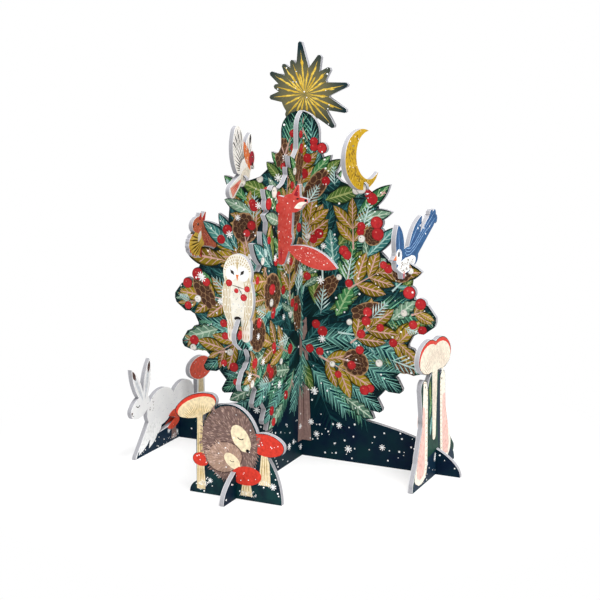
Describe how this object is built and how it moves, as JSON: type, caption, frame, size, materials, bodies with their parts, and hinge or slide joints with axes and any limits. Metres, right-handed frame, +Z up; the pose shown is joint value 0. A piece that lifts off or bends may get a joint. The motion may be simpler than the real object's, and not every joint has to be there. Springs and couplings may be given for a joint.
{
  "type": "slot-together card tree decoration",
  "caption": "Free-standing tree of thick printed card: crossed leafy panels slot together, and a star, moon, birds, woodland animals and toadstools slot onto their edges.",
  "frame": {"origin": "on the floor, at the middle of the side panel's foot, where the two panels cross", "axes": "+Z up, +X along the side panel towards the toadstool, -Y along the front panel towards the hedgehogs"},
  "size_m": [0.248, 0.248, 0.2998],
  "materials": {
    "side_panel_card": "matte print",
    "front_panel_card": "matte print",
    "star_card": "matte print",
    "moon_card": "matte print",
    "robin_card": "matte print",
    "squirrel_card": "matte print",
    "swallow_card": "matte print",
    "fox_card": "matte print",
    "owl_card": "matte print",
    "hare_card": "matte print",
    "toadstool_card": "matte print",
    "hedgehog_card": "matte print"
  },
  "bodies": {
    "root": {"side_panel": "side_panel_card", "front_panel": "front_panel_card", "star": "star_card", "moon": "moon_card", "robin": "robin_card", "squirrel": "squirrel_card", "swallow": "swallow_card", "fox": "fox_card", "owl": "owl_card", "hare": "hare_card", "toadstool": "toadstool_card", "hedgehog": "hedgehog_card"}
  },
  "joints": []
}
